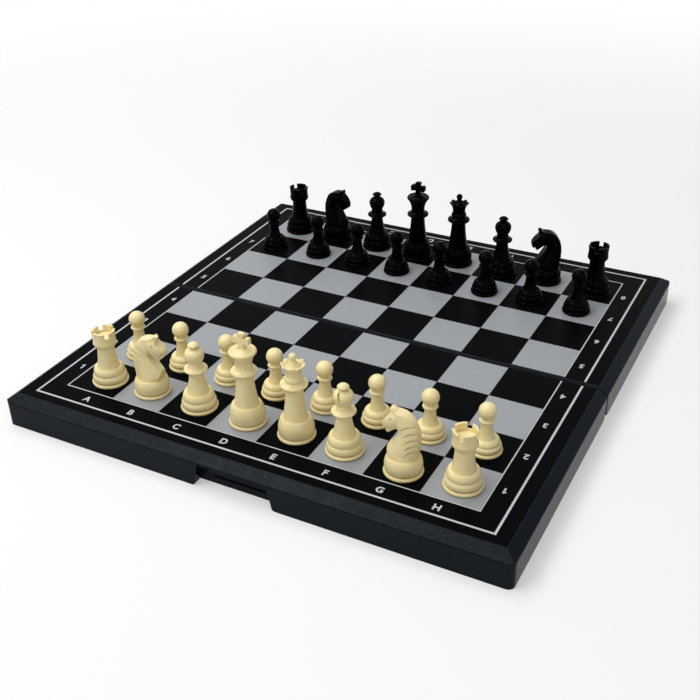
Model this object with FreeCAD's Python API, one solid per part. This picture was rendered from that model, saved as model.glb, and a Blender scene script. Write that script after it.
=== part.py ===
import FreeCAD, Part
import math
import os
from FreeCAD import Vector

# Folding magnetic chess set, opened flat for play. Millimetres.
# Origin at the middle of the open board, on the table; +X towards the h-file, +Y towards black, +Z up.
# Two hollow half cases carry a printed playing panel over a steel sheet. They are joined by two links,
# each with a pin in either half, so that the halves swing down and close like a box, panels outside.
# A latch flap in the rear half clips over a small ridge in the front half's finger recess.
# Every chess piece is a turned plastic body on a foot cap that shuts a magnet in.

# Playing field
SQUARE = 25.75              # side of one square
SEAM_BAND = 3.92            # black strip between the squares of the two halves
BORDER_X = 22.0             # squares to the case's side face
BORDER_Y = 20.4             # squares to the case's front and rear face
FOIL_THICKNESS = 0.1        # silver foil, let into the panel
FOIL_MARGIN = 0.06          # foil square is smaller than its square by this on each side
LINE_WIDTH = 1.0            # outer frame line
LINE_OFFSET = 9.8           # squares to the outer frame line's inner edge
THIN_LINE_WIDTH = 0.6       # line along the edge of the squares
THIN_LINE_GAP = 0.06        # foil squares to that line

# Half case
CASE_HEIGHT = 16.0
SEAM_GAP = 0.6              # between the halves, open
WALL = 2.0
TOP_PLATE = 2.4             # plate under the steel sheet
CORNER_RADIUS = 3.0         # upright outer corners
SEAM_CORNER_RADIUS = 1.2    # upright corners at the seam
SEAM_TOP_RADIUS = 0.7       # upper seam edge
BEVEL_WIDTH = 4.6           # sloping rim round the panel
BEVEL_DROP = 3.3
RIM_GROOVE = 0.4            # fine groove under the bevel, as wide as deep
RIM_GROOVE_DROP = 0.25      # bevel to groove
RIB_HEIGHT = 1.4            # stiffening ribs under the plate
RIB_WIDTH = 1.4
RIB_SPACING = 60.0

# Panel and steel sheet
PANEL_THICKNESS = 0.6
SHEET_THICKNESS = 0.4
PANEL_GAP = 0.35            # round the panel
PANEL_LIP = 0.5             # case rim between panel and bevel
SEAM_LIP = 1.2              # case rim between panel and seam

# Finger recess in the middle of the outer long wall
RECESS_WIDTH = 38.5         # at the foot
RECESS_TAPER = 2.0          # each side leans in by this much
RECESS_HEIGHT = 11.4
RECESS_DEPTH = 5.3
RECESS_WALL = 1.8
RECESS_FLARE = 1.5          # rounding where the sides meet the foot
CATCH_PROUD = 0.7           # ridge that the latch clips over
CATCH_HEIGHT = 1.0
CATCH_LENGTH = 26.0

# Hinge
HINGE_X = 70.0              # middle of each link from the board's middle
PIVOT_HEIGHT = 3.8
CLOSED_GAP = 0.4            # between the rims of the closed halves
SEAM_EDGE_CLEARANCE = 0.1   # lower seam edge rolls inside the pivot distance by this
LINK_WIDTH = 14.0
LINK_EYE_RADIUS = 2.9
LINK_SIDE_GAP = 0.3
LINK_TOP_GAP = 0.4
PIN_RADIUS = 1.0
PIN_RUNNING_CLEARANCE = 0.05
PIN_SEAT_CLEARANCE = 0.02
BOSS_WIDTH = 3.6

# Latch
LATCH_WIDTH = 30.0
LATCH_THICKNESS = 1.6
LATCH_REACH = 8.2           # pivot to tip
LATCH_PIVOT_HEIGHT = 2.4
LATCH_PIVOT_DEPTH = 3.4     # outer face to pivot
LATCH_BARREL_RADIUS = 1.6
LATCH_PIN_RADIUS = 0.8
LATCH_PIN_SEAT = 1.2        # length of pin in each side wall
HOOK_PROUD = 0.7
HOOK_HEIGHT = 1.2
HOOK_CLEARANCE = 0.3        # hook to ridge when shut

# Feet and magnets of the chess pieces
FOOT_HEIGHT = 1.7
FOOT_ROUND = 0.5            # foot's edge bulges by this
FOOT_GROOVE = 1.4           # depth of the groove over the foot
UNDERCUT_HEIGHT = 0.6       # height of that groove
UNDERCUT_STEP = 0.65        # body's lower edge stands out over the groove's bottom
PAWN_FOOT_D = 14.6
OFFICER_FOOT_D = 17.1
PAWN_MAGNET_D = 6.0
OFFICER_MAGNET_D = 9.0
MAGNET_HEIGHT = 2.4
MAGNET_CLEARANCE = 0.1
LEDGE_STEP = 1.0            # ledge that each stem rises from

# Curves of the turned pieces
RING_SWELL = 0.45           # bulge of the lowest ring
CUSHION_SWELL = 0.4         # bulge of the second ring
BELL_SWELL = 0.7            # bulge of the bell-shaped drum
COLLAR_ROUND = 0.55         # bulge of a collar's edge
COLLAR_HOLLOW = 0.25        # hollow above and below that edge
COLLAR_LOW = 0.35           # lower end of a collar's edge, as a share of the collar's height
COLLAR_HIGH = 0.7           # upper end of it

# Pawn
PAWN_RING_HEIGHT = 2.9
PAWN_CREASE_D = 11.9
PAWN_CUSHION_HEIGHT = 2.5
PAWN_LEDGE_D = 9.4
PAWN_STEM_HEIGHT = 7.0
PAWN_STEM_HOLLOW = 0.3
PAWN_NECK_D = 5.0
PAWN_COLLAR_D = 6.9
PAWN_COLLAR_HEIGHT = 3.0
PAWN_THROAT_D = 5.0
PAWN_BALL_D = 7.8

# Rook and bishop share a two-step base
RING_HEIGHT = 3.6
CREASE_D = 14.2
CUSHION_HEIGHT = 3.4
LEDGE_D = 12.4
TOWER_STEM_HOLLOW = 0.3
ROOK_STEM_HEIGHT = 10.7
ROOK_NECK_D = 7.9
ROOK_FLARE_HEIGHT = 2.2
ROOK_FLARE_SWELL = 0.45
ROOK_TOWER_D = 10.8
ROOK_TOWER_HEIGHT = 6.0
ROOK_TOWER_HOLLOW = 0.25
ROOK_TOWER_WALL = 1.2
ROOK_CUP_DEPTH = 3.2
ROOK_NOTCH_WIDTH = 2.2
ROOK_NOTCH_DEPTH = 2.6
ROOK_NOTCH_PAIRS = 2
BISHOP_STEM_HEIGHT = 10.0
BISHOP_NECK_D = 6.2
BISHOP_COLLAR_D = 10.7
BISHOP_COLLAR_HEIGHT = 3.2
BISHOP_THROAT_D = 6.6
BISHOP_NAPE_D = 6.1
BISHOP_NAPE_HEIGHT = 2.1    # neck between the collar and the head
BISHOP_HEAD_D = 8.8
BISHOP_HEAD_HEIGHT = 6.9
BISHOP_HEAD_WIDEST = 3.9    # height of the widest place in the head
BISHOP_CHEEK_SWELL = 0.35
BISHOP_BROW_SWELL = 0.75
BISHOP_KNOB_NECK_D = 3.0
BISHOP_KNOB_D = 5.2
BISHOP_KNOB_HEIGHT = 3.0
BISHOP_KNOB_HOLLOW = 0.2
BISHOP_SLOT_WIDTH = 1.0
BISHOP_SLOT_D = 5.2         # the slot is cut by a disc of this size
BISHOP_SLOT_DEPTH = 2.4     # below the cheek
BISHOP_SLOT_RISE = 1.4      # slot's middle above the widest place
BISHOP_SLOT_LEAN = 20.0     # degrees from upright

# King, queen and knight share a bell-shaped base
BELL_HEIGHT = 8.2
BELL_TOP_D = 13.0
ROYAL_STEM_HEIGHT = 14.5
ROYAL_STEM_HOLLOW = 0.25
ROYAL_NECK_D = 7.6
ROYAL_COLLAR_HEIGHT = 4.0
QUEEN_COLLAR_D = 12.2
QUEEN_THROAT_D = 7.4
QUEEN_RING_HEIGHT = 2.3
QUEEN_RING_PROUD = 0.5
QUEEN_WAIST_D = 7.0
QUEEN_CORONET_D = 10.8
QUEEN_CORONET_HEIGHT = 5.8
QUEEN_CORONET_HOLLOW = 0.7
QUEEN_CUP_DEPTH = 1.2
QUEEN_CUP_WALL = 1.0
QUEEN_POINTS = 8
QUEEN_SCALLOP_D = 3.2
QUEEN_SCALLOP_RISE = 1.0    # scallop's centre above the rim
QUEEN_DOME_HEIGHT = 2.0
QUEEN_DOME_HOLLOW = 0.2
QUEEN_NECK_D = 2.2
QUEEN_BALL_D = 3.4
KING_COLLAR_D = 11.9
KING_THROAT_D = 7.4
KING_CROWN_D = 12.2
KING_CROWN_HEIGHT = 7.5
KING_CROWN_HOLLOW = 0.8
KING_RIM_HEIGHT = 1.2
KING_RIM_ROUND = 0.3
KING_DOME_D = 9.0
KING_DOME_HEIGHT = 1.4
KING_CROSS_HEIGHT = 8.0
KING_CROSS_WIDTH = 8.2
KING_CROSS_ARM = 2.4        # height of the cross's bar at its middle
KING_CROSS_FLARE = 0.7      # each arm widens by this towards its end
KING_CROSS_THICKNESS = 2.2
KING_CROSS_ROUND = 0.8      # corners of the arms' ends
KING_CROSS_BAR = 0.56       # height of the bar as a share of the cross's height

# Knight
KNIGHT_BELL_HEIGHT = 6.8
KNIGHT_BELL_TOP_D = 13.6
KNIGHT_EAR_GAP_D = 2.0      # round groove between the ears
KNIGHT_EAR_GAP_Z = 22.4     # its middle above the ledge
KNIGHT_EAR_GAP_X = 2.4      # its rear end forward of the axis
KNIGHT_GROOVE_DEPTH = 0.4   # carved lines of the mane and the face
KNIGHT_GROOVE_WIDTH = 0.9
KNIGHT_MANE_REACH = 5.2     # mane lines run forward by this
KNIGHT_MANE_FALL = 3.4      # and down by this
KNIGHT_EYE_D = 1.1
KNIGHT_NOSTRIL_D = 0.8

# Sizes that follow from the ones above
PIECE_SQUARES = 8
HALF_WIDTH = PIECE_SQUARES / 2 * SQUARE + BORDER_X
SEAM_Y = SEAM_GAP / 2
FIELD_Y = SEAM_BAND / 2
FIELD_END_Y = FIELD_Y + PIECE_SQUARES / 2 * SQUARE
FAR_Y = FIELD_END_Y + BORDER_Y
FIELD_X = PIECE_SQUARES / 2 * SQUARE
RECESS_FLOOR = CASE_HEIGHT - PANEL_THICKNESS - SHEET_THICKNESS
HOLLOW_TOP = RECESS_FLOOR - TOP_PLATE
PIVOT_Y = PIVOT_HEIGHT + CLOSED_GAP / 2
SEAM_EDGE_RADIUS = PIVOT_Y - SEAM_Y - SEAM_EDGE_CLEARANCE
LATCH_Y = FAR_Y - LATCH_PIVOT_DEPTH
BEYOND = 5.0                # how far a cutting tool runs past the face it opens
NEAR = 0.001                # two places closer than this are the same
X_AXIS = Vector(1, 0, 0)
Y_AXIS = Vector(0, 1, 0)
Z_AXIS = Vector(0, 0, 1)
CENTRE = Vector(0, 0, 0)


def block(x0, x1, y0, y1, z0, z1):
    """Box between two corners."""
    return Part.makeBox(x1 - x0, y1 - y0, z1 - z0, Vector(x0, y0, z0))


def rod_x(x0, x1, y, z, radius):
    """Cylinder along X."""
    return Part.makeCylinder(radius, x1 - x0, Vector(x0, y, z), X_AXIS)


def prism(points, travel):
    """Straight-sided outline pushed along a vector."""
    return Part.Face(Part.makePolygon(points + points[:1])).extrude(travel)


def upright_edges(shape, x, y):
    """Edges of a shape that stand upright at a place in plan, on either side of the middle."""
    found = []
    for edge in shape.Edges:
        middle = edge.CenterOfMass
        if abs(abs(middle.x) - x) < NEAR and abs(middle.y - y) < NEAR:
            found.append(edge)
    return found


def half_turned(shape):
    """The same thing on the front half: everything there is the rear half turned about the middle."""
    turned = shape.copy()
    turned.rotate(CENTRE, Z_AXIS, 180)
    return turned


class Outline:
    """Half section of a turned piece, drawn in radius and height from the axis upwards."""

    def __init__(self, radius, height):
        self.here = Vector(radius, 0, height)
        self.edges = []

    def line(self, radius, height):
        there = Vector(radius, 0, height)
        self.edges.append(Part.LineSegment(self.here, there).toShape())
        self.here = there
        return self

    def bow(self, radius, height, swell):
        """Arc to a point, standing out from the chord by swell; a negative swell hollows it."""
        there = Vector(radius, 0, height)
        along = there - self.here
        outward = Vector(along.z, 0, -along.x).normalize()
        middle = (self.here + there) * 0.5 + outward * swell
        self.edges.append(Part.Arc(self.here, middle, there).toShape())
        self.here = there
        return self

    def dome(self, rise):
        """Round cap that meets the axis square on."""
        radius = (self.here.x ** 2 + rise ** 2) / (2 * rise)
        centre = self.here.z + rise - radius
        half_way = math.atan2(self.here.x, self.here.z - centre) / 2
        middle = Vector(radius * math.sin(half_way), 0, centre + radius * math.cos(half_way))
        there = Vector(0, 0, self.here.z + rise)
        self.edges.append(Part.Arc(self.here, middle, there).toShape())
        self.here = there
        return self

    def solid(self):
        """Close the section along the axis and turn it."""
        foot = self.edges[0].Vertexes[0].Point
        if self.here.x > 0:
            self.line(0, self.here.z)
        self.line(foot.x, foot.z)
        face = Part.Face(Part.Wire(self.edges))
        return face.revolve(CENTRE, Z_AXIS, 360)


# Half case, drawn on the rear side

def case_envelope():
    """Outer form of a half: rounded upright corners, mitred bevel, rolled seam edges, rim groove."""
    body = block(-HALF_WIDTH, HALF_WIDTH, SEAM_Y, FAR_Y, 0, CASE_HEIGHT)
    body = body.makeFillet(CORNER_RADIUS, upright_edges(body, HALF_WIDTH, FAR_Y))
    body = body.makeFillet(SEAM_CORNER_RADIUS, upright_edges(body, HALF_WIDTH, SEAM_Y))
    slope = BEVEL_DROP / BEVEL_WIDTH
    low = CASE_HEIGHT - BEVEL_DROP - BEYOND * slope
    for side in (-1, 1):
        wedge = [Vector(side * (HALF_WIDTH - BEVEL_WIDTH), -BEYOND, CASE_HEIGHT),
                 Vector(side * (HALF_WIDTH + BEYOND), -BEYOND, CASE_HEIGHT),
                 Vector(side * (HALF_WIDTH + BEYOND), -BEYOND, low)]
        body = body.cut(prism(wedge, Vector(0, FAR_Y + 2 * BEYOND, 0)))
    wedge = [Vector(-HALF_WIDTH - BEYOND, FAR_Y - BEVEL_WIDTH, CASE_HEIGHT),
             Vector(-HALF_WIDTH - BEYOND, FAR_Y + BEYOND, CASE_HEIGHT),
             Vector(-HALF_WIDTH - BEYOND, FAR_Y + BEYOND, low)]
    body = body.cut(prism(wedge, Vector(2 * (HALF_WIDTH + BEYOND), 0, 0)))
    for radius, height, up in ((SEAM_EDGE_RADIUS, 0, 1), (SEAM_TOP_RADIUS, CASE_HEIGHT, -1)):
        body = body.cut(seam_rounding(radius, height, up))
    return body.cut(rim_groove())


def seam_rounding(radius, height, up):
    """Corner waste along a seam edge: a square bar with the round of the edge taken out of it."""
    reach = HALF_WIDTH + BEYOND
    levels = sorted((height - up * BEYOND, height + up * radius))
    bar = block(-reach, reach, SEAM_Y - BEYOND, SEAM_Y + radius, levels[0], levels[1])
    keep = rod_x(-reach, reach, SEAM_Y + radius, height + up * radius, radius)
    inner = block(-reach, reach, SEAM_Y + radius, SEAM_Y + radius + BEYOND, levels[0], levels[1])
    return bar.cut(keep).cut(inner)


def rim_groove():
    """Fine groove round the three outer faces, just under the bevel."""
    top = CASE_HEIGHT - BEVEL_DROP - RIM_GROOVE_DROP
    base = top - RIM_GROOVE
    band = block(-HALF_WIDTH - BEYOND, HALF_WIDTH + BEYOND, SEAM_Y - BEYOND, FAR_Y + BEYOND, base, top)
    x = HALF_WIDTH - RIM_GROOVE
    y = FAR_Y - RIM_GROOVE
    core = block(-x, x, SEAM_Y - BEYOND, y, base, top)
    core = core.makeFillet(CORNER_RADIUS - RIM_GROOVE, upright_edges(core, x, y))
    return band.cut(core)


def recess_outline(y, spread):
    """Face of the finger recess at a depth, grown by spread: leaning sides, flared foot."""
    low = RECESS_WIDTH / 2 + spread
    high = low - RECESS_TAPER
    top = RECESS_HEIGHT + spread
    flare = RECESS_FLARE
    bend = flare * (1 - math.sqrt(0.5))
    edges = []
    for side in (-1, 1):
        foot = Vector(side * (low + flare), y, 0)
        middle = Vector(side * (low + bend), y, bend)
        start = Vector(side * low, y, flare)
        edges.append(Part.LineSegment(Vector(foot.x, y, -BEYOND), foot).toShape())
        edges.append(Part.Arc(foot, middle, start).toShape())
        edges.append(Part.LineSegment(start, Vector(side * high, y, top)).toShape())
    edges.append(Part.LineSegment(Vector(-high, y, top), Vector(high, y, top)).toShape())
    ends = low + flare
    edges.append(Part.LineSegment(Vector(-ends, y, -BEYOND), Vector(ends, y, -BEYOND)).toShape())
    return Part.Face(Part.Wire(Part.__sortEdges__(edges)))


def ribs():
    """Low stiffening ribs across the underside of the plate."""
    top = HOLLOW_TOP + RIB_HEIGHT
    low = HOLLOW_TOP - RIB_HEIGHT
    count = int((HALF_WIDTH - WALL) // RIB_SPACING)
    made = []
    for step in range(-count, count + 1):
        x = step * RIB_SPACING
        y0 = SEAM_Y + WALL / 2
        y1 = FAR_Y - WALL / 2
        made.append(block(x - RIB_WIDTH / 2, x + RIB_WIDTH / 2, y0, y1, low, top))
    for share in (1, 2):
        y = SEAM_Y + share * (FAR_Y - SEAM_Y) / 3
        x = HALF_WIDTH - WALL / 2
        made.append(block(-x, x, y - RIB_WIDTH / 2, y + RIB_WIDTH / 2, low, top))
    return made


def hinge_bosses():
    """Blocks on both sides of each link that hold the pin's ends."""
    made = []
    outer = LINK_WIDTH / 2 + LINK_SIDE_GAP + BOSS_WIDTH
    back = PIVOT_Y + LINK_EYE_RADIUS + LINK_TOP_GAP + WALL
    for x in (-HINGE_X, HINGE_X):
        made.append(block(x - outer, x + outer, SEAM_Y, back, 0, HOLLOW_TOP + WALL / 2))
    return made


def hinge_cuts():
    """Slot that each link swings in, and the pin holes through the bosses."""
    cuts = []
    side = LINK_WIDTH / 2 + LINK_SIDE_GAP
    outer = side + BOSS_WIDTH
    top = PIVOT_HEIGHT + LINK_EYE_RADIUS + LINK_TOP_GAP
    back = PIVOT_Y + LINK_EYE_RADIUS + LINK_TOP_GAP
    for x in (-HINGE_X, HINGE_X):
        cuts.append(block(x - side, x + side, SEAM_Y - BEYOND, back, -BEYOND, top))
        cuts.append(rod_x(x - outer, x + outer, PIVOT_Y, PIVOT_HEIGHT, PIN_RADIUS + PIN_SEAT_CLEARANCE))
    return cuts


def case_half(has_latch):
    """One half case; the latch's half has pin holes in its recess, the other the ridge for the hook."""
    envelope = case_envelope()
    inside_corner = CORNER_RADIUS - WALL / 2
    x = HALF_WIDTH - WALL
    hollow = block(-x, x, SEAM_Y + WALL, FAR_Y - WALL, -BEYOND, HOLLOW_TOP)
    for y in (SEAM_Y + WALL, FAR_Y - WALL):
        hollow = hollow.makeFillet(inside_corner, upright_edges(hollow, x, y))
    shell = envelope.cut(hollow)
    housing = recess_outline(FAR_Y - RECESS_DEPTH - RECESS_WALL, RECESS_WALL)
    inside = [housing.extrude(Vector(0, RECESS_DEPTH + RECESS_WALL, 0))] + ribs() + hinge_bosses()
    shell = shell.multiFuse([part.common(envelope) for part in inside])
    recess = recess_outline(FAR_Y - RECESS_DEPTH, 0).extrude(Vector(0, RECESS_DEPTH + BEYOND, 0))
    plate_x = HALF_WIDTH - BEVEL_WIDTH - PANEL_LIP
    plate_y = FAR_Y - BEVEL_WIDTH - PANEL_LIP
    seat = block(-plate_x, plate_x, SEAM_Y + SEAM_LIP, plate_y, RECESS_FLOOR, CASE_HEIGHT + BEYOND)
    cuts = [recess, seat] + hinge_cuts()
    if has_latch:
        reach = latch_pin_half_length()
        hole = LATCH_PIN_RADIUS + PIN_SEAT_CLEARANCE
        cuts.append(rod_x(-reach, reach, LATCH_Y, LATCH_PIVOT_HEIGHT, hole))
    for tool in cuts:
        shell = shell.cut(tool)
    if not has_latch:
        shell = shell.fuse(latch_catch())
    return shell.removeSplitter()


def latch_catch():
    """Ridge on the back of the recess, level with the underside of the closed latch's hook."""
    hook_low = LATCH_REACH - HOOK_HEIGHT - LATCH_PIVOT_HEIGHT - CLOSED_GAP
    top = hook_low - HOOK_CLEARANCE
    back = FAR_Y - RECESS_DEPTH
    return block(-CATCH_LENGTH / 2, CATCH_LENGTH / 2, back - RECESS_WALL / 2, back + CATCH_PROUD,
                 top - CATCH_HEIGHT, top)


def latch_pin_half_length():
    """The pin spans the recess at its own height and sits in both side walls."""
    lean = RECESS_TAPER * (LATCH_PIVOT_HEIGHT - RECESS_FLARE) / (RECESS_HEIGHT - RECESS_FLARE)
    return RECESS_WIDTH / 2 - lean + LATCH_PIN_SEAT


# Panel, steel sheet and silver foil, drawn on the rear side

def panel_blank(low, high):
    """Sheet that drops into the seat with the panel gap all round."""
    x = HALF_WIDTH - BEVEL_WIDTH - PANEL_LIP - PANEL_GAP
    y0 = SEAM_Y + SEAM_LIP + PANEL_GAP
    y1 = FAR_Y - BEVEL_WIDTH - PANEL_LIP - PANEL_GAP
    return block(-x, x, y0, y1, low, high)


def silver_squares():
    """Light squares of ranks 5 to 8; the a1 corner is dark."""
    made = []
    low = CASE_HEIGHT - FOIL_THICKNESS
    side = SQUARE - 2 * FOIL_MARGIN
    for column in range(PIECE_SQUARES):
        for row in range(PIECE_SQUARES // 2):
            if (column + row) % 2 == 0:
                continue
            x = -FIELD_X + column * SQUARE + FOIL_MARGIN
            y = FIELD_Y + row * SQUARE + FOIL_MARGIN
            made.append(block(x, x + side, y, y + side, low, CASE_HEIGHT))
    return made


def frame_line(offset, width):
    """Line round three sides of the squares, open at the seam."""
    low = CASE_HEIGHT - FOIL_THICKNESS
    outer = offset + width
    outside = block(-FIELD_X - outer, FIELD_X + outer, FIELD_Y, FIELD_END_Y + outer, low, CASE_HEIGHT)
    inner = FIELD_X + offset
    inside = block(-inner, inner, FIELD_Y - BEYOND, FIELD_END_Y + offset, low, CASE_HEIGHT)
    return outside.cut(inside)


def silver_lines():
    """Broad outer line and the fine line along the squares."""
    return [frame_line(LINE_OFFSET, LINE_WIDTH), frame_line(THIN_LINE_GAP, THIN_LINE_WIDTH)]


def panel():
    """Printed playing panel with shallow seats for the foil."""
    sheet = panel_blank(CASE_HEIGHT - PANEL_THICKNESS, CASE_HEIGHT)
    return sheet.cut(Part.makeCompound(silver_squares() + silver_lines()))


# Hinge and latch

def hinge_link(x):
    """Flat link with an eye at each end; both pins run in it."""
    left = x - LINK_WIDTH / 2
    right = x + LINK_WIDTH / 2
    low = PIVOT_HEIGHT - LINK_EYE_RADIUS
    high = PIVOT_HEIGHT + LINK_EYE_RADIUS
    link = block(left, right, -PIVOT_Y, PIVOT_Y, low, high)
    for y in (-PIVOT_Y, PIVOT_Y):
        link = link.fuse(rod_x(left, right, y, PIVOT_HEIGHT, LINK_EYE_RADIUS))
    for y in (-PIVOT_Y, PIVOT_Y):
        link = link.cut(rod_x(left, right, y, PIVOT_HEIGHT, PIN_RADIUS + PIN_RUNNING_CLEARANCE))
    return link.removeSplitter()


def hinge_pins():
    """The two pins of the rear half."""
    reach = LINK_WIDTH / 2 + LINK_SIDE_GAP + BOSS_WIDTH
    return [rod_x(x - reach, x + reach, PIVOT_Y, PIVOT_HEIGHT, PIN_RADIUS) for x in (-HINGE_X, HINGE_X)]


def latch_flap():
    """Flap stowed upright in the recess: barrel on the pin, plate, and the hook at its tip."""
    half = LATCH_WIDTH / 2
    tip = LATCH_PIVOT_HEIGHT + LATCH_REACH
    face = LATCH_Y + LATCH_THICKNESS / 2
    flap = rod_x(-half, half, LATCH_Y, LATCH_PIVOT_HEIGHT, LATCH_BARREL_RADIUS)
    flap = flap.fuse(block(-half, half, face - LATCH_THICKNESS, face, LATCH_PIVOT_HEIGHT, tip))
    hook = [Vector(-half, face, tip), Vector(-half, face + HOOK_PROUD, tip - HOOK_HEIGHT),
            Vector(-half, face, tip - HOOK_HEIGHT)]
    flap = flap.fuse(prism(hook, Vector(LATCH_WIDTH, 0, 0)))
    bore = LATCH_PIN_RADIUS + PIN_RUNNING_CLEARANCE
    return flap.cut(rod_x(-half, half, LATCH_Y, LATCH_PIVOT_HEIGHT, bore)).removeSplitter()


def latch_pin():
    """Steel pin of the latch."""
    reach = latch_pin_half_length()
    return rod_x(-reach, reach, LATCH_Y, LATCH_PIVOT_HEIGHT, LATCH_PIN_RADIUS)


# Chess pieces, each standing on the origin

def foot_cap(diameter):
    """Round-edged disc that shuts the magnet in."""
    flat = diameter / 2 - FOOT_ROUND
    return Outline(0, 0).line(flat, 0).bow(flat, FOOT_HEIGHT, FOOT_ROUND).solid()


def base_groove(foot_d):
    """Groove over the foot, up to the body's lower edge."""
    neck = foot_d / 2 - FOOT_GROOVE
    outline = Outline(0, FOOT_HEIGHT).line(neck, FOOT_HEIGHT)
    return outline.line(neck + UNDERCUT_STEP, FOOT_HEIGHT + UNDERCUT_HEIGHT)


def two_step_base(foot_d, ring_height, crease_d, cushion_height, ledge_d):
    """Bulged ring, cushion and ledge, ready for the stem."""
    outline = base_groove(foot_d)
    z = FOOT_HEIGHT + ring_height
    outline.bow(crease_d / 2, z, RING_SWELL)
    z += cushion_height
    outline.bow(ledge_d / 2, z, CUSHION_SWELL)
    return outline.line(ledge_d / 2 - LEDGE_STEP, z)


def bell_base(foot_d, height, top_d):
    """Bell-shaped drum and ledge, ready for the stem."""
    outline = base_groove(foot_d)
    z = FOOT_HEIGHT + height
    outline.bow(top_d / 2, z, BELL_SWELL)
    return outline.line(top_d / 2 - LEDGE_STEP, z)


def stem(outline, height, neck_d, hollow):
    """Slender hollowed stem up to the neck."""
    return outline.bow(neck_d / 2, outline.here.z + height, -hollow)


def collar(outline, collar_d, height, throat_d):
    """Round-edged disc round the neck."""
    z = outline.here.z
    edge = collar_d / 2 - COLLAR_ROUND
    outline.bow(edge, z + height * COLLAR_LOW, -COLLAR_HOLLOW)
    outline.bow(edge, z + height * COLLAR_HIGH, COLLAR_ROUND)
    return outline.bow(throat_d / 2, z + height, -COLLAR_HOLLOW)


def magnet_socket(diameter):
    """Hole in the underside that the magnet drops into."""
    radius = diameter / 2 + MAGNET_CLEARANCE
    return Part.makeCylinder(radius, MAGNET_HEIGHT + MAGNET_CLEARANCE, Vector(0, 0, FOOT_HEIGHT))


def with_foot(body, foot_d, magnet_d):
    """Body with its socket, foot cap and magnet, as three solids."""
    magnet = Part.makeCylinder(magnet_d / 2, MAGNET_HEIGHT, Vector(0, 0, FOOT_HEIGHT))
    return [body.cut(magnet_socket(magnet_d)), foot_cap(foot_d), magnet]


def pawn():
    outline = two_step_base(PAWN_FOOT_D, PAWN_RING_HEIGHT, PAWN_CREASE_D, PAWN_CUSHION_HEIGHT, PAWN_LEDGE_D)
    stem(outline, PAWN_STEM_HEIGHT, PAWN_NECK_D, PAWN_STEM_HOLLOW)
    collar(outline, PAWN_COLLAR_D, PAWN_COLLAR_HEIGHT, PAWN_THROAT_D)
    ball = PAWN_BALL_D / 2
    middle = outline.here.z + math.sqrt(ball ** 2 - outline.here.x ** 2)
    body = outline.solid().fuse(Part.makeSphere(ball, Vector(0, 0, middle)))
    return with_foot(body.removeSplitter(), PAWN_FOOT_D, PAWN_MAGNET_D)


def rook():
    outline = two_step_base(OFFICER_FOOT_D, RING_HEIGHT, CREASE_D, CUSHION_HEIGHT, LEDGE_D)
    stem(outline, ROOK_STEM_HEIGHT, ROOK_NECK_D, TOWER_STEM_HOLLOW)
    tower = ROOK_TOWER_D / 2
    z = outline.here.z + ROOK_FLARE_HEIGHT
    outline.bow(tower, z, ROOK_FLARE_SWELL)
    top = z + ROOK_TOWER_HEIGHT
    outline.bow(tower, top, -ROOK_TOWER_HOLLOW)
    inner = tower - ROOK_TOWER_WALL
    floor = top - ROOK_CUP_DEPTH
    body = outline.line(inner, top).line(inner, floor).solid()
    half = ROOK_NOTCH_WIDTH / 2
    for turn in range(ROOK_NOTCH_PAIRS):
        notch = block(-ROOK_TOWER_D, ROOK_TOWER_D, -half, half, top - ROOK_NOTCH_DEPTH, top + BEYOND)
        notch.rotate(CENTRE, Z_AXIS, turn * 180 / ROOK_NOTCH_PAIRS)
        body = body.cut(notch)
    return with_foot(body, OFFICER_FOOT_D, OFFICER_MAGNET_D)


def bishop():
    outline = two_step_base(OFFICER_FOOT_D, RING_HEIGHT, CREASE_D, CUSHION_HEIGHT, LEDGE_D)
    stem(outline, BISHOP_STEM_HEIGHT, BISHOP_NECK_D, TOWER_STEM_HOLLOW)
    collar(outline, BISHOP_COLLAR_D, BISHOP_COLLAR_HEIGHT, BISHOP_THROAT_D)
    outline.line(BISHOP_NAPE_D / 2, outline.here.z + BISHOP_NAPE_HEIGHT)
    cheek = BISHOP_HEAD_D / 2
    widest = outline.here.z + BISHOP_HEAD_WIDEST
    top = outline.here.z + BISHOP_HEAD_HEIGHT
    outline.bow(cheek, widest, BISHOP_CHEEK_SWELL)
    outline.bow(BISHOP_KNOB_NECK_D / 2, top, BISHOP_BROW_SWELL)
    outline.bow(BISHOP_KNOB_D / 2, top + BISHOP_KNOB_HEIGHT / 2, -BISHOP_KNOB_HOLLOW)
    body = outline.dome(BISHOP_KNOB_HEIGHT / 2).solid()
    disc = BISHOP_SLOT_D / 2
    middle = widest + BISHOP_SLOT_RISE
    start = Vector(cheek - BISHOP_SLOT_DEPTH + disc, -BISHOP_SLOT_WIDTH / 2, middle)
    slot = Part.makeCylinder(disc, BISHOP_SLOT_WIDTH, start, Y_AXIS)
    slot.rotate(Vector(0, 0, middle), X_AXIS, BISHOP_SLOT_LEAN)
    return with_foot(body.cut(slot), OFFICER_FOOT_D, OFFICER_MAGNET_D)


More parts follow.
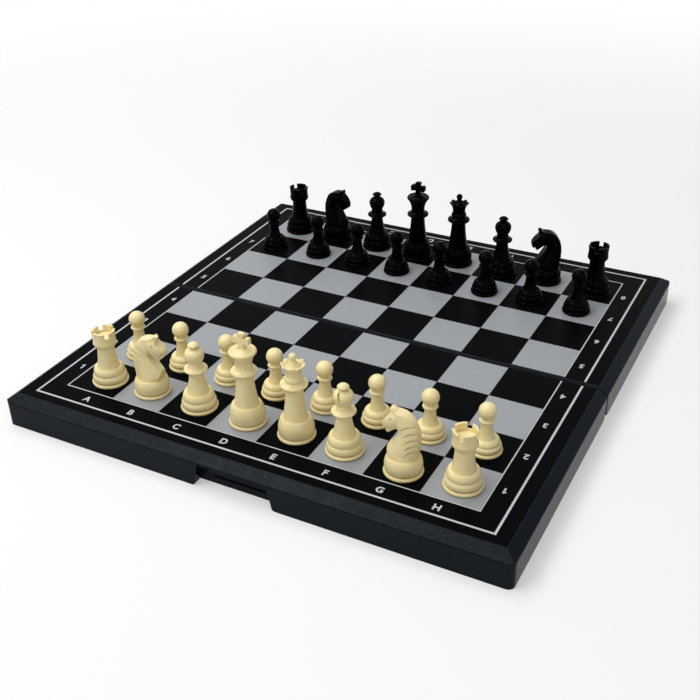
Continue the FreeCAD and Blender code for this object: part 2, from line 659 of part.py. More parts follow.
def queen():
    outline = bell_base(OFFICER_FOOT_D, BELL_HEIGHT, BELL_TOP_D)
    stem(outline, ROYAL_STEM_HEIGHT, ROYAL_NECK_D, ROYAL_STEM_HOLLOW)
    collar(outline, QUEEN_COLLAR_D, ROYAL_COLLAR_HEIGHT, QUEEN_THROAT_D)
    z = outline.here.z + QUEEN_RING_HEIGHT
    outline.bow(QUEEN_WAIST_D / 2, z, QUEEN_RING_PROUD)
    rim = QUEEN_CORONET_D / 2
    top = z + QUEEN_CORONET_HEIGHT
    outline.bow(rim, top, -QUEEN_CORONET_HOLLOW)
    inner = rim - QUEEN_CUP_WALL
    outline.line(inner, top).line(inner - QUEEN_CUP_WALL, top - QUEEN_CUP_DEPTH)
    peak = top + QUEEN_DOME_HEIGHT
    body = outline.bow(QUEEN_NECK_D / 2, peak, -QUEEN_DOME_HOLLOW).solid()
    ball = QUEEN_BALL_D / 2
    middle = peak + math.sqrt(ball ** 2 - (QUEEN_NECK_D / 2) ** 2)
    body = body.fuse(Part.makeSphere(ball, Vector(0, 0, middle)))
    scallop = rod_x(inner - QUEEN_CUP_WALL, rim + BEYOND, 0, top + QUEEN_SCALLOP_RISE, QUEEN_SCALLOP_D / 2)
    for point in range(QUEEN_POINTS):
        body = body.cut(scallop)
        scallop.rotate(CENTRE, Z_AXIS, 360 / QUEEN_POINTS)
    return with_foot(body, OFFICER_FOOT_D, OFFICER_MAGNET_D)


def outer_corner(edge):
    """True for an edge through the cross's thickness at the end of an arm."""
    start = edge.Vertexes[0].Point
    along = edge.Vertexes[-1].Point - start
    return abs(along.y) > KING_CROSS_THICKNESS / 2 and abs(start.x) > (KING_CROSS_ARM + KING_CROSS_FLARE) / 2


def king_cross(base):
    """Flat cross with arms that widen outwards; its foot runs down into the dome."""
    arm = KING_CROSS_ARM / 2
    end = arm + KING_CROSS_FLARE
    wide = KING_CROSS_WIDTH / 2
    top = base + KING_CROSS_HEIGHT
    bar = base + KING_CROSS_HEIGHT * KING_CROSS_BAR
    low = base - KING_DOME_HEIGHT / 2
    right = [(end, top), (arm, bar + arm), (wide, bar + end), (wide, bar - end), (arm, bar - arm), (end, low)]
    left = [(-x, z) for x, z in reversed(right)]
    points = [Vector(x, -KING_CROSS_THICKNESS / 2, z) for x, z in right + left]
    cross = prism(points, Vector(0, KING_CROSS_THICKNESS, 0))
    ends = [edge for edge in cross.Edges if outer_corner(edge)]
    return cross.makeFillet(KING_CROSS_ROUND, ends)


def king():
    outline = bell_base(OFFICER_FOOT_D, BELL_HEIGHT, BELL_TOP_D)
    stem(outline, ROYAL_STEM_HEIGHT, ROYAL_NECK_D, ROYAL_STEM_HOLLOW)
    collar(outline, KING_COLLAR_D, ROYAL_COLLAR_HEIGHT, KING_THROAT_D)
    rim = KING_CROWN_D / 2
    z = outline.here.z + KING_CROWN_HEIGHT
    outline.bow(rim, z, -KING_CROWN_HOLLOW)
    z += KING_RIM_HEIGHT
    outline.bow(rim - KING_RIM_HEIGHT / 2, z, KING_RIM_ROUND)
    outline.line(KING_DOME_D / 2, z - KING_RIM_HEIGHT / 3)
    cross = king_cross(outline.here.z + KING_DOME_HEIGHT / 2)
    body = outline.dome(KING_DOME_HEIGHT).solid().fuse(cross)
    return with_foot(body, OFFICER_FOOT_D, OFFICER_MAGNET_D)


# Horse's neck and head in profile, as runs of points forward of the axis and above the ledge, read from the
# photo; each run is a smooth curve and the next one starts where it ends
HORSE_PROFILE = (
    ((-6.2, -0.3), (-6.4, 2.0), (-6.9, 5.0), (-7.1, 8.5), (-6.9, 11.5), (-6.4, 14.1), (-5.4, 16.5),
     (-4.2, 18.2), (-3.0, 19.3), (-1.2, 20.3), (0.8, 20.7), (2.8, 20.9)),
    ((2.8, 20.9), (3.8, 21.5), (4.8, 22.2), (5.7, 22.1), (5.9, 21.2), (5.6, 20.0), (5.4, 19.2)),
    ((5.4, 19.2), (6.0, 18.3), (7.1, 17.2), (8.2, 16.1), (8.9, 15.2), (9.2, 14.1), (9.0, 13.0), (8.5, 12.2),
     (7.9, 12.0)),
    ((7.9, 12.0), (7.4, 12.2), (7.0, 11.5), (6.6, 10.9)),
    ((6.6, 10.9), (5.9, 10.9), (4.9, 11.8), (3.6, 12.9), (2.3, 13.6), (1.3, 13.3)),
    ((1.3, 13.3), (1.4, 12.0), (2.0, 10.4), (3.4, 8.0), (4.9, 6.0), (6.2, 4.7)),
    ((6.2, 4.7), (6.6, 4.0), (6.4, 2.8), (5.8, 1.3), (5.5, -0.3)),
)

# Level ovals that give the horse its thickness: height above the ledge, middle forward of the axis, half
# length and half thickness
NECK_OVALS = (
    (-1.0, -0.4, 6.6, 5.6),
    (3.8, -0.1, 7.1, 5.0),
    (6.9, -1.2, 6.4, 4.4),
    (9.5, -2.0, 5.7, 4.0),
    (12.5, -2.2, 5.3, 3.6),
    (15.5, -0.8, 5.8, 3.4),
    (18.5, 0.5, 5.7, 3.0),
    (21.0, 1.5, 4.9, 2.5),
    (23.0, 2.2, 4.4, 1.9),
)
HEAD_OVALS = (
    (10.0, 5.4, 3.6, 2.0),
    (11.8, 5.3, 4.2, 2.5),
    (13.8, 4.9, 4.9, 3.0),
    (15.8, 4.2, 5.3, 3.4),
    (17.6, 3.4, 5.2, 3.4),
    (19.2, 2.6, 4.6, 3.0),
    (20.4, 2.2, 4.0, 2.5),
)

# Where the carved lines sit, forward of the axis and above the ledge: the mane's lines start at the crest,
# the mouth runs back from the lips
MANE_STARTS = ((-4.9, 17.0), (-6.2, 14.2), (-6.8, 11.4), (-7.1, 8.6), (-6.9, 5.8))
MOUTH = ((7.9, 12.6), (5.4, 13.9), (7.7, 11.9))
EYE = (4.5, 17.9)
NOSTRIL = (8.1, 13.8)


def through_rod(place, diameter):
    """Rod across the horse at a place in the profile."""
    start = Vector(place[0], -OFFICER_FOOT_D, place[1])
    return Part.makeCylinder(diameter / 2, 2 * OFFICER_FOOT_D, start, Y_AXIS)


def through_block(places):
    """Straight-sided block across the horse with the given outline."""
    points = [Vector(x, -OFFICER_FOOT_D, z) for x, z in places]
    return prism(points, Y_AXIS * (2 * OFFICER_FOOT_D))


def smooth_body(ovals, inset):
    """Smooth body through level ovals, drawn in by an inset all round."""
    rings = []
    for height, forward, half_length, half_thickness in ovals:
        ring = Part.Ellipse(Vector(forward, 0, height), half_length - inset, half_thickness - inset)
        rings.append(Part.Wire(ring.toShape()))
    return Part.makeLoft(rings, True)


def horse_profile():
    """The profile as a slab that is wider than the horse."""
    edges = []
    for run in HORSE_PROFILE:
        curve = Part.BSplineCurve()
        curve.interpolate([Vector(x, -OFFICER_FOOT_D, z) for x, z in run])
        edges.append(curve.toShape())
    edges.append(Part.LineSegment(edges[-1].Vertexes[-1].Point, edges[0].Vertexes[0].Point).toShape())
    return Part.Face(Part.Wire(edges)).extrude(Y_AXIS * (2 * OFFICER_FOOT_D))


def mane_line(x, z):
    """Tapering line that falls forward from the crest in a bend."""
    half = KNIGHT_GROOVE_WIDTH / 2
    bend_x = x + KNIGHT_MANE_REACH / 2
    bend_z = z - KNIGHT_MANE_FALL / 3
    back_x = x - BEYOND
    tip = (x + KNIGHT_MANE_REACH, z - KNIGHT_MANE_FALL)
    return through_block(((back_x, z - half), (bend_x, bend_z - half), tip,
                          (bend_x, bend_z + half / 2), (back_x, z + half)))


def carved(profile, ovals, lines):
    """The part of the profile that lies within the ovals, with lines cut into both of its sides."""
    body = profile.common(smooth_body(ovals, 0))
    core = smooth_body(ovals, KNIGHT_GROOVE_DEPTH)
    for line in lines:
        body = body.cut(line.cut(core))
    return body


def horse(ledge):
    """Neck and head with ears, eyes, mouth and mane, standing on the ledge of the base."""
    profile = horse_profile()
    neck = carved(profile, NECK_OVALS, [mane_line(x, z) for x, z in MANE_STARTS])
    holes = [through_rod(EYE, KNIGHT_EYE_D), through_rod(NOSTRIL, KNIGHT_NOSTRIL_D)]
    body = neck.fuse(carved(profile, HEAD_OVALS, holes + [through_block(MOUTH)]))
    body = body.cut(rod_x(KNIGHT_EAR_GAP_X, OFFICER_FOOT_D, 0, KNIGHT_EAR_GAP_Z, KNIGHT_EAR_GAP_D / 2))
    body.translate(Vector(0, 0, ledge))
    return body


def knight():
    outline = bell_base(OFFICER_FOOT_D, KNIGHT_BELL_HEIGHT, KNIGHT_BELL_TOP_D)
    ledge = outline.here.z
    body = outline.solid().fuse(horse(ledge))
    return with_foot(body, OFFICER_FOOT_D, OFFICER_MAGNET_D)


# Set-up: rank 1 is white's, rank 8 black's; the kings stand on the d-file

FILES = "abcdefgh"
BACK_RANK = ("rook", "knight", "bishop", "king", "queen", "bishop", "knight", "rook")
SHAPES = {"pawn": pawn(), "rook": rook(), "knight": knight(), "bishop": bishop(), "queen": queen(),
          "king": king()}

# How far each piece stands off the middle of its square, from the a-file to the h-file
WHITE_OFFICERS_OFF = ((2.7, -1.2), (0.5, 0), (1.6, -0.9), (1.8, -1.1), (0.6, -0.6), (-1.2, -1.4),
                      (1.4, -3.4), (1.2, -1.2))
WHITE_PAWNS_OFF = ((1.6, -1.6), (1, -1.2), (1.3, -1.6), (2, -2.3), (1.7, -2), (1.8, -1.8), (1.2, -1.9),
                   (0.8, -1))
BLACK_PAWNS_OFF = ((-1.4, -1.6), (0.5, 0.5), (0.3, 0.4), (-1, 0.3), (-0.4, -1.5), (0.4, -1.5), (-0.4, -0.7),
                   (-0.6, -1))
BLACK_OFFICERS_OFF = ((0.3, -0.4), (-0.5, 0), (1, -1.4), (1.9, -3.7), (-0.3, -1.1), (0.5, -2.7),
                      (-0.1, -0.6), (2, -2.9))
SIDES = (("white", WHITE_OFFICERS_OFF, WHITE_PAWNS_OFF), ("black", BLACK_OFFICERS_OFF, BLACK_PAWNS_OFF))

# Which way the pieces with a face are turned, in degrees about +Z from +X
FACING = {
    "white_rook_a": 55.0, "black_rook_a": 55.0,
    "white_knight_b": 8.0, "black_knight_b": -8.0,
    "white_knight_g": 180.0, "black_knight_g": 208.0,
    "white_bishop_c": 60.0, "black_bishop_c": 60.0,
    "white_bishop_f": -94.0, "black_bishop_f": -94.0,
}


def square_centre(file, rank):
    """Middle of a square on the playing surface."""
    column = FILES.index(file)
    x = -FIELD_X + (column + 0.5) * SQUARE
    beyond_seam = 1 if rank > PIECE_SQUARES // 2 else -1
    y = (rank - 0.5 - PIECE_SQUARES / 2) * SQUARE + beyond_seam * FIELD_Y
    return Vector(x, y, CASE_HEIGHT)


def placed(kind, file, rank, off, facing):
    """A chess piece on its square, turned the way it faces."""
    piece = Part.makeCompound(SHAPES[kind])
    piece.rotate(CENTRE, Z_AXIS, facing)
    piece.translate(square_centre(file, rank) + Vector(*off, 0))
    return piece


def chess_pieces():
    """All pieces by name; the pairs and the pawns carry their file's letter."""
    named = {}
    for colour, officers_off, pawns_off in SIDES:
        officer_rank = 1 if colour == "white" else PIECE_SQUARES
        pawn_rank = 2 if colour == "white" else PIECE_SQUARES - 1
        for column, kind in enumerate(BACK_RANK):
            file = FILES[column]
            alone = kind in ("king", "queen")
            name = f"{colour}_{kind}" if alone else f"{colour}_{kind}_{file}"
            named[name] = placed(kind, file, officer_rank, officers_off[column], FACING.get(name, 0))
            named[f"{colour}_pawn_{file}"] = placed("pawn", file, pawn_rank, pawns_off[column], 0)
    return named


# Export, one file for each named piece

rear = {
    "case": case_half(True),
    "panel": panel(),
    "steel_sheet": panel_blank(RECESS_FLOOR, RECESS_FLOOR + SHEET_THICKNESS),
    "silver_squares": Part.makeCompound(silver_squares()),
    "silver_lines": Part.makeCompound(silver_lines()),
    "hinge_pins": Part.makeCompound(hinge_pins()),
}
parts = {f"rear_{name}": shape for name, shape in rear.items()}
for name, shape in rear.items():
    parts[f"front_{name}"] = half_turned(case_half(False) if name == "case" else shape)
parts["hinge_link_left"] = hinge_link(-HINGE_X)
parts["hinge_link_right"] = hinge_link(HINGE_X)
parts["latch_flap"] = latch_flap()
parts["latch_pin"] = latch_pin()
parts.update(chess_pieces())

os.makedirs("parts", exist_ok=True)
for name, shape in parts.items():
    shape.exportStep(f"parts/{name}.step")
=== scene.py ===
import bmesh
import bpy
import numpy as np
from mathutils import Matrix, Vector

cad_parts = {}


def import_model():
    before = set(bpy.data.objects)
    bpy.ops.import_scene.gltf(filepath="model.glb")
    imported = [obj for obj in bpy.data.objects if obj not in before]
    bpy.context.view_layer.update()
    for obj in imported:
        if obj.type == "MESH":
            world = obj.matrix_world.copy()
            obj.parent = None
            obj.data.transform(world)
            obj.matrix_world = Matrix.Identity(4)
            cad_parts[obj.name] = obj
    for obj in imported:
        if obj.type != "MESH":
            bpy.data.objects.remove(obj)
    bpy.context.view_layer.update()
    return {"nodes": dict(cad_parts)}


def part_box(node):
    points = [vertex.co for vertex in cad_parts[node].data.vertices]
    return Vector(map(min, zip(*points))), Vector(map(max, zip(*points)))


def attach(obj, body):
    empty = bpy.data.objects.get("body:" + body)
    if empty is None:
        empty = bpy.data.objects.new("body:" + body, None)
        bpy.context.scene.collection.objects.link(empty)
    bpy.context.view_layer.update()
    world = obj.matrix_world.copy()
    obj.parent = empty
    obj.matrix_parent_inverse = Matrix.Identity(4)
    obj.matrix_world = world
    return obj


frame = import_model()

NODES = frame["nodes"]
MM = 0.001
PLAY_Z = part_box("front_panel")[1].z     # height of the playing surface


# Materials. Every pattern is laid in the part's own frame, so its scale is in real millimetres.

class Finish:
    """A material under construction: a principled shader and the patterns that feed it."""

    def __init__(self, name, **sockets):
        self.material = bpy.data.materials.new(name)
        self.material.use_nodes = True
        self.tree = self.material.node_tree
        self.shader = self.tree.nodes["Principled BSDF"]
        for socket, value in sockets.items():
            self.shader.inputs[socket.replace("_", " ")].default_value = value
        self.coordinates = self.node("ShaderNodeTexCoord")
        self.place = self.coordinates.outputs["Object"]

    def node(self, kind, **settings):
        made = self.tree.nodes.new(kind)
        for setting, value in settings.items():
            setattr(made, setting, value)
        return made

    def wire(self, source, target):
        self.tree.links.new(source, target)

    def stretched(self, x, y, z):
        """The coordinates, stretched along each axis."""
        mapping = self.node("ShaderNodeMapping")
        mapping.inputs["Scale"].default_value = (x, y, z)
        self.wire(self.place, mapping.inputs["Vector"])
        return mapping.outputs["Vector"]

    def noise(self, size_mm, detail=3.0, place=None):
        """Cloudy pattern whose blotches are about this size."""
        made = self.node("ShaderNodeTexNoise")
        made.inputs["Scale"].default_value = 1.0 / (size_mm * MM)
        made.inputs["Detail"].default_value = detail
        self.wire(place or self.place, made.inputs["Vector"])
        return made.outputs["Fac"]

    def cells(self, size_mm, output="Color"):
        """Cells of about this size, each with its own random level, or the distance to their middles."""
        made = self.node("ShaderNodeTexVoronoi")
        made.inputs["Scale"].default_value = 1.0 / (size_mm * MM)
        self.wire(self.place, made.inputs["Vector"])
        return made.outputs[output]

    def spread(self, source, low, high, start=0.3, end=0.7):
        """Maps a pattern's levels from start to end onto the values from low to high."""
        made = self.node("ShaderNodeMapRange")
        made.inputs["From Min"].default_value = start
        made.inputs["From Max"].default_value = end
        made.inputs["To Min"].default_value = low
        made.inputs["To Max"].default_value = high
        self.wire(source, made.inputs["Value"])
        return made.outputs["Result"]

    def blend(self, share, first, second):
        """Goes from the first colour to the second by the share; either may be a pattern's output."""
        made = self.node("ShaderNodeMix", data_type="RGBA")
        self.wire(share, made.inputs["Factor"])
        for socket, colour in (("A", first), ("B", second)):
            target = [s for s in made.inputs if s.name == socket and s.type == "RGBA"][0]
            if isinstance(colour, tuple):
                target.default_value = (*colour, 1.0)
            else:
                self.wire(colour, target)
        return [s for s in made.outputs if s.type == "RGBA"][0]

    def times(self, first, second):
        """One pattern multiplied by another."""
        made = self.node("ShaderNodeMath", operation="MULTIPLY")
        self.wire(first, made.inputs[0])
        self.wire(second, made.inputs[1])
        return made.outputs[0]

    def edges(self, radius_mm):
        """1 along sharp outer and inner edges, 0 on open faces."""
        rounded = self.node("ShaderNodeBevel", samples=4)
        rounded.inputs["Radius"].default_value = radius_mm * MM
        plain = self.node("ShaderNodeNewGeometry")
        alike = self.node("ShaderNodeVectorMath", operation="DOT_PRODUCT")
        self.wire(rounded.outputs["Normal"], alike.inputs[0])
        self.wire(plain.outputs["Normal"], alike.inputs[1])
        return self.spread(alike.outputs["Value"], 1.0, 0.0, 0.80, 0.99)

    def facing(self, axis):
        """1 where a face looks along an axis, forwards or backwards, 0 where it runs beside it."""
        normal = self.node("ShaderNodeSeparateXYZ")
        self.wire(self.coordinates.outputs["Normal"], normal.inputs["Vector"])
        made = self.node("ShaderNodeMath", operation="ABSOLUTE")
        self.wire(normal.outputs[axis], made.inputs[0])
        return made.outputs[0]

    def relief(self, *layers, soften_mm=0.0):
        """Bumps, each (pattern, height in mm, strength), laid over edges softened by a radius."""
        last = None
        if soften_mm:
            rounded = self.node("ShaderNodeBevel", samples=6)
            rounded.inputs["Radius"].default_value = soften_mm * MM
            last = rounded.outputs["Normal"]
        for source, height_mm, strength in layers:
            bump = self.node("ShaderNodeBump")
            bump.inputs["Distance"].default_value = height_mm * MM
            bump.inputs["Strength"].default_value = strength
            self.wire(source, bump.inputs["Height"])
            if last:
                self.wire(last, bump.inputs["Normal"])
            last = bump.outputs["Normal"]
        self.wire(last, self.shader.inputs["Normal"])

    def done(self, colour, roughness):
        """The material, once its two main patterns are wired in."""
        self.wire(colour, self.shader.inputs["Base Color"])
        self.wire(roughness, self.shader.inputs["Roughness"])
        return self.material


def case_plastic():
    """Black moulded case: glossy walls, rubbed edges, a few specks, and pale dust mostly on the front and
    rear bevels, partly painted light that leaves the side bevels darker as if in shade.
    """
    f = Finish("case_plastic", Specular_IOR_Level=0.036, Specular_Tint=(0.66, 0.86, 1.0, 1.0),
               Coat_Roughness=0.13)
    top = f.spread(f.facing("Z"), 0.0, 1.0, 0.2, 0.8)
    # Painted light: faces looking forwards or backwards get the pale dust in full and side faces only a
    # little, so the front and rear bevels read paler, as if lit, and the side bevels darker, as if in shade.
    lit_ends_mask = f.spread(f.facing("Y"), 0.15, 1.0, 0.1, 0.5)
    f.wire(f.spread(top, 0.12, 0.0, 0.0, 1.0), f.shader.inputs["Coat Weight"])
    cloudy = f.blend(f.noise(24), (0.0022, 0.0044, 0.0080), (0.0040, 0.0070, 0.0120))
    grain = f.times(f.spread(f.noise(1.1, 5.0), 0.35, 1.0, 0.36, 0.66), f.times(top, lit_ends_mask))
    patchy_dust_and_light = f.times(grain, f.spread(f.noise(38), 0.7, 1.0))
    # Dust colour, partly painted light, since its mask favours the front and rear bevels.
    dust_and_painted_light = f.blend(patchy_dust_and_light, cloudy, (0.0235, 0.0240, 0.0245))
    rubbed = f.times(f.edges(0.45), f.spread(f.noise(5.0), 0.0, 0.55, 0.42, 0.72))
    worn = f.blend(rubbed, dust_and_painted_light, (0.040, 0.044, 0.050))
    speck = f.times(f.spread(f.cells(4.2, "Distance"), 1.0, 0.0, 0.03, 0.08),
                    f.spread(f.noise(30), 0.0, 0.7, 0.50, 0.66))
    colour = f.blend(speck, worn, (0.26, 0.26, 0.26))
    moulded = f.times(f.noise(0.22, 1.0), f.spread(top, 0.15, 1.0, 0.0, 1.0))
    f.relief((moulded, 0.010, 0.35), (f.noise(14.0, 1.0), 0.03, 0.06))
    roughness = f.times(f.spread(f.noise(9.0, 4.0), 0.8, 1.2), f.spread(top, 0.13, 0.36, 0.0, 1.0))
    return f.done(colour, roughness)


def panel_print():
    """Printed black laminate of the playing surface: smooth, with faint smears and hairline scratches."""
    f = Finish("panel_print", Specular_IOR_Level=0.010)
    colour = f.blend(f.noise(60), (0.0012, 0.0016, 0.0018), (0.0022, 0.0027, 0.0030))
    scratch = f.noise(0.5, 2.0, f.stretched(0.03, 1.0, 1.0))
    f.relief((f.noise(1.6, 1.0), 0.012, 0.12), (scratch, 0.004, 0.10))
    return f.done(colour, f.spread(f.noise(18.0, 5.0), 0.26, 0.40))


def silver_foil():
    """Silver ink of the squares: cool grey, with the fine glitter of its flakes and a slight mottle."""
    f = Finish("silver_foil", Metallic=0.25, Specular_IOR_Level=0.25)
    mottled = f.blend(f.noise(35, 4.0), (0.288, 0.302, 0.322), (0.314, 0.330, 0.349))
    flake = f.spread(f.cells(0.16), 0.0, 0.14, 0.55, 1.0)
    colour = f.blend(flake, mottled, (0.60, 0.61, 0.63))
    f.relief((f.noise(0.3, 2.0), 0.006, 0.25), (f.noise(5.0, 1.0), 0.02, 0.08))
    return f.done(colour, f.spread(f.noise(6.0), 0.42, 0.56))


def bright_print():
    """Frame lines and marks: the same ink laid on thicker, so brighter."""
    f = Finish("bright_print", Metallic=0.15, Specular_IOR_Level=0.3)
    mottled = f.blend(f.noise(8, 4.0), (0.46, 0.47, 0.48), (0.54, 0.55, 0.56))
    colour = f.blend(f.spread(f.cells(0.16), 0.0, 0.2, 0.5, 1.0), mottled, (0.70, 0.70, 0.70))
    f.relief((f.noise(0.3, 2.0), 0.006, 0.25))
    return f.done(colour, f.spread(f.noise(2.0), 0.40, 0.52))


def ivory_plastic():
    """Ivory chess pieces: soft moulded plastic with cloudy colour, a little grain, light inside and painted
    shade in the grooves.
    """
    f = Finish("ivory_plastic", Specular_IOR_Level=0.5, Subsurface_Weight=0.18, Subsurface_Scale=0.0016)
    f.shader.inputs["Subsurface Radius"].default_value = (1.0, 0.72, 0.34)
    cloudy = f.blend(f.noise(9, 3.0), (0.855, 0.724, 0.362), (0.885, 0.758, 0.412))
    # Painted shade: the colour darkens to a deep tan in creases and grooves, by ambient occlusion within 1.2
    # mm.
    painted_shade_in_hollows = f.node("ShaderNodeAmbientOcclusion", samples=6)
    painted_shade_in_hollows.inputs["Distance"].default_value = 1.2 * MM
    colour = f.blend(f.spread(painted_shade_in_hollows.outputs["AO"], 0.55, 0.0, 0.35, 0.85), cloudy, (0.54, 0.40, 0.15))
    flow = f.noise(2.2, 3.0, f.stretched(1.0, 1.0, 0.3))
    f.relief((flow, 0.02, 0.10), (f.noise(0.25, 1.0), 0.006, 0.16), soften_mm=0.45)
    return f.done(colour, f.spread(f.noise(4.0), 0.24, 0.34))


def black_gloss_plastic():
    """Black chess pieces: the same moulding, polished by handling."""
    f = Finish("black_gloss_plastic", Specular_IOR_Level=0.024)
    colour = f.blend(f.noise(7, 3.0), (0.0003, 0.0004, 0.0005), (0.0008, 0.0010, 0.0011))
    f.relief((f.noise(5.0, 1.0), 0.008, 0.05), (f.noise(0.25, 1.0), 0.003, 0.06), soften_mm=0.45)
    return f.done(colour, f.spread(f.noise(4.0, 4.0), 0.10, 0.16))


def steel(name):
    """Drawn steel: fine lines along X, slightly dulled in patches."""
    f = Finish(name, Metallic=1.0)
    lines = f.noise(0.18, 2.0, f.stretched(0.05, 1.0, 1.0))
    colour = f.blend(lines, (0.40, 0.40, 0.41), (0.56, 0.56, 0.57))
    f.relief((lines, 0.010, 0.3))
    return f.done(colour, f.spread(f.noise(3.0), 0.26, 0.42))


def hinge_plastic():
    """Tough black plastic of the links and the latch: duller than the case, polished where it rubs."""
    f = Finish("hinge_plastic", Specular_IOR_Level=0.14)
    cloudy = f.blend(f.noise(6), (0.0050, 0.0055, 0.0065), (0.0095, 0.0100, 0.0110))
    colour = f.blend(f.times(f.edges(0.3), f.noise(2.0)), cloudy, (0.060, 0.062, 0.066))
    f.relief((f.noise(0.35, 2.0), 0.015, 0.4))
    return f.done(colour, f.spread(f.noise(5.0), 0.38, 0.55))


IVORY = ivory_plastic()
BLACK_GLOSS = black_gloss_plastic()
CASE = case_plastic()
PRINT = panel_print()
FOIL = silver_foil()
BRIGHT = bright_print()
HINGE = hinge_plastic()
PIN = steel("pin_steel")
SHEET = steel("sheet_steel")

# The part of a node's name that calls for each material; all other nodes are chess pieces.
FINISHES = (
    ("_case", CASE),
    ("_panel", PRINT),
    ("silver_squares", FOIL),
    ("silver_lines", BRIGHT),
    ("steel_sheet", SHEET),
    ("_pin", PIN),
    ("hinge_link", HINGE),
    ("latch_flap", HINGE),
)


def finish_of(node):
    """The material that a node's name calls for."""
    for part, material in FINISHES:
        if part in node:
            return material
    return IVORY if node.startswith("white_") else BLACK_GLOSS


for name, node in NODES.items():
    node.data.materials.clear()
    node.data.materials.append(finish_of(name))


# Coordinates printed round the board: letters along the front and rear, digits along both sides.
# The front letters and the left digits read from white's side, the others from black's.

LETTER_HEIGHT = 3.7 * MM
DIGIT_HEIGHT = 3.6 * MM
PRINT_THICKNESS = 0.03 * MM
STROKE_GAIN = 0.030         # thickens the strokes, as a share of the font's size
FILE_PITCH = 24.95 * MM
LETTER_Y = 110.7 * MM
DIGIT_X = 107.9 * MM
FIRST_RANK_Y = 14.4 * MM    # ranks 4 and 5 from the seam
RANK_PITCH = 25.0 * MM
MIDDLE_FILE = 3.5           # halfway between the files D and E, counted from A = 0

# Outline of the digit 1, in heights of the digit
FLAGGED_ONE = (
    (0.30, 1.0), (0.14, 1.0), (-0.12, 0.80), (-0.12, 0.62), (0.08, 0.74), (0.08, 0.0), (0.30, 0.0),
)


def flagged_one():
    """The digit 1 with its flag; the built-in font has only a bar."""
    count = len(FLAGGED_ONE)
    points = [(x, y, z) for z in (0.0, 1.0) for x, y in FLAGGED_ONE]
    faces = [tuple(reversed(range(count))), tuple(range(count, 2 * count))]
    for i in range(count):
        after = (i + 1) % count
        faces.append((i, after, count + after, count + i))
    mesh = bpy.data.meshes.new("glyph")
    mesh.from_pydata(points, [], faces)
    return mesh


def font_glyph(text):
    """A character of the built-in font, thickened. Any depth will do: glyph sets the real one."""
    curve = bpy.data.curves.new("glyph", "FONT")
    curve.body = text
    curve.size = 1.0
    curve.offset = STROKE_GAIN
    curve.extrude = 0.01
    curve.resolution_u = 6
    shape = bpy.data.objects.new("glyph", curve)
    bpy.context.scene.collection.objects.link(shape)
    bpy.context.view_layer.update()
    solid = shape.evaluated_get(bpy.context.evaluated_depsgraph_get())
    mesh = bpy.data.meshes.new_from_object(solid)
    bpy.data.objects.remove(shape)
    return mesh


def glyph(text, height, x, y, turned):
    """One printed character as a thin mesh lying on the panel, centred at a point."""
    mesh = flagged_one() if text == "1" else font_glyph(text)
    points = np.array([v.co for v in mesh.vertices])
    low, high = points.min(0), points.max(0)
    points -= (low + high) / 2
    points[:, :2] *= height / (high[1] - low[1])
    points[:, 2] = np.where(points[:, 2] > 0, PRINT_THICKNESS, 0.0)
    if turned:
        points[:, :2] *= -1
    points += (x, y, PLAY_Z)
    mesh.vertices.foreach_set("co", points.ravel())
    return mesh


def marks(name, body, glyphs):
    """All the characters of one half as one piece."""
    joined = bmesh.new()
    for mesh in glyphs:
        joined.from_mesh(mesh)
        bpy.data.meshes.remove(mesh)
    data = bpy.data.meshes.new(name)
    joined.to_mesh(data)
    joined.free()
    data.materials.append(BRIGHT)
    piece = bpy.data.objects.new(name, data)
    bpy.context.scene.collection.objects.link(piece)
    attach(piece, body)


for half, side, ranks in (("front_half", -1, "4321"), ("rear_half", 1, "5678")):
    glyphs = [glyph(letter, LETTER_HEIGHT, (i - MIDDLE_FILE) * FILE_PITCH, side * LETTER_Y, side > 0)
              for i, letter in enumerate("ABCDEFGH")]
    for i, digit in enumerate(ranks):
        y = side * (FIRST_RANK_Y + i * RANK_PITCH)
        glyphs.append(glyph(digit, DIGIT_HEIGHT, -DIGIT_X, y, False))
        glyphs.append(glyph(digit, DIGIT_HEIGHT, DIGIT_X, y, True))
    marks(half.replace("half", "marks"), half, glyphs)


# Floor, light and camera

FLOOR_REACH = 6.0               # metres, from the middle to each side
FLOOR_TONE = (0.88, 0.91)       # darkest and palest
FLOOR_CLEAR = 0.40              # how clear the floor is around the set
FADE_START = 0.20               # metres from the middle, where the floor begins to fade out
FADE_END = 0.80                 # and where it is gone
AMBIENT = 0.31                  # strength of the white surroundings as light


def floor():
    """Pale matt table, partly clear, so that a half folded under it still shows; it fades into the white."""
    far = FLOOR_REACH
    data = bpy.data.meshes.new("floor")
    data.from_pydata([(-far, -far, 0), (far, -far, 0), (far, far, 0), (-far, far, 0)], [], [(0, 1, 2, 3)])
    f = Finish("floor", Roughness=0.9, Specular_IOR_Level=0.0)
    grain = f.node("ShaderNodeTexNoise")
    grain.inputs["Scale"].default_value = 3.0
    f.wire(f.spread(grain.outputs["Fac"], *FLOOR_TONE, 0.0, 1.0), f.shader.inputs["Base Color"])
    distance = f.node("ShaderNodeVectorMath", operation="LENGTH")
    f.wire(f.place, distance.inputs[0])
    fade = f.node("ShaderNodeMapRange", interpolation_type="SMOOTHSTEP")
    fade.inputs["From Min"].default_value = FADE_START
    fade.inputs["From Max"].default_value = FADE_END
    fade.inputs["To Min"].default_value = FLOOR_CLEAR
    fade.inputs["To Max"].default_value = 1.0
    f.wire(distance.outputs["Value"], fade.inputs["Value"])
    mixed = f.node("ShaderNodeMixShader")
    f.wire(fade.outputs["Result"], mixed.inputs["Fac"])
    f.wire(f.shader.outputs["BSDF"], mixed.inputs[1])
    f.wire(f.node("ShaderNodeBsdfTransparent").outputs["BSDF"], mixed.inputs[2])
    f.wire(mixed.outputs["Shader"], f.tree.nodes["Material Output"].inputs["Surface"])
    data.materials.append(f.material)
    plane = bpy.data.objects.new("floor", data)
    bpy.context.scene.collection.objects.link(plane)


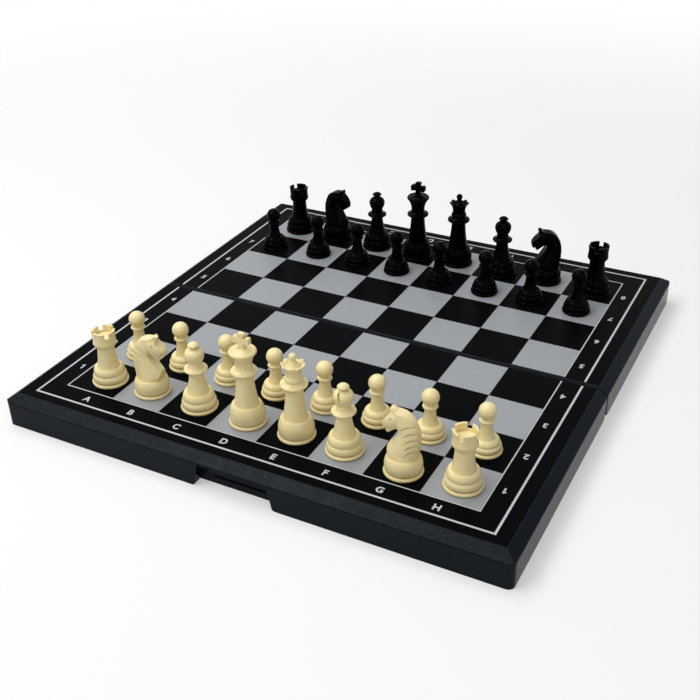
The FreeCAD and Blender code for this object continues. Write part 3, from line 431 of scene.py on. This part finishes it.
def lamp(name, location, target, size, power, height=None):
    """Soft lamp aimed at a point: a disk of the size, or a strip of that width and a height."""
    data = bpy.data.lights.new(name, "AREA")
    data.shape = "RECTANGLE" if height else "DISK"
    data.size = size
    data.size_y = height or size
    data.energy = power
    made = bpy.data.objects.new(name, data)
    made.location = location
    aim = Vector(target) - Vector(location)
    made.rotation_euler = aim.to_track_quat("-Z", "Y").to_euler()
    bpy.context.scene.collection.objects.link(made)


def world():
    """Even white surroundings: white to the camera and in reflections, dimmer as light."""
    made = bpy.data.worlds.new("studio")
    made.use_nodes = True
    tree = made.node_tree
    background = tree.nodes["Background"]
    background.inputs["Color"].default_value = (1.0, 1.0, 1.0, 1.0)
    rays = tree.nodes.new("ShaderNodeLightPath")
    seen = rays.outputs["Is Camera Ray"]
    for other in ("Is Glossy Ray", "Is Transmission Ray"):
        either = tree.nodes.new("ShaderNodeMath")
        either.operation = "MAXIMUM"
        tree.links.new(seen, either.inputs[0])
        tree.links.new(rays.outputs[other], either.inputs[1])
        seen = either.outputs[0]
    strength = tree.nodes.new("ShaderNodeMapRange")
    strength.inputs["To Min"].default_value = AMBIENT
    strength.inputs["To Max"].default_value = 1.0
    tree.links.new(seen, strength.inputs["Value"])
    tree.links.new(strength.outputs["Result"], background.inputs["Strength"])
    bpy.context.scene.world = made


floor()
world()
lamp("key", (-0.42, 0.06, 1.10), (0, 0, 0), 0.9, 7.0)
lamp("fill", (0.55, -0.75, 0.70), (0, 0, 0.02), 0.7, 1.6)
lamp("strip", (-0.46, -0.56, 0.90), (0, 0, 0.02), 0.55, 4.3, height=0.16)

# The camera, solved from the corners of the board in the photo
EYE = Vector((0.208497, -0.407147, 0.283785))
RIGHT = Vector((0.88739, 0.46061, -0.01919))
UP = Vector((-0.22549, 0.46998, 0.85339))
FORWARD = Vector((-0.40210, 0.75296, -0.52092))
SENSOR_MM = 36.0
LENS_MM = 53.83
CLIP = (0.01, 50.0)

view = bpy.data.cameras.new("camera")
view.sensor_width = SENSOR_MM
view.lens = LENS_MM
view.clip_start, view.clip_end = CLIP
camera = bpy.data.objects.new("camera", view)
turn = Matrix((RIGHT, UP, -FORWARD)).transposed()
camera.matrix_world = Matrix.Translation(EYE) @ turn.to_4x4()
bpy.context.scene.collection.objects.link(camera)
bpy.context.scene.camera = camera

bpy.context.scene.view_settings.view_transform = "Standard"
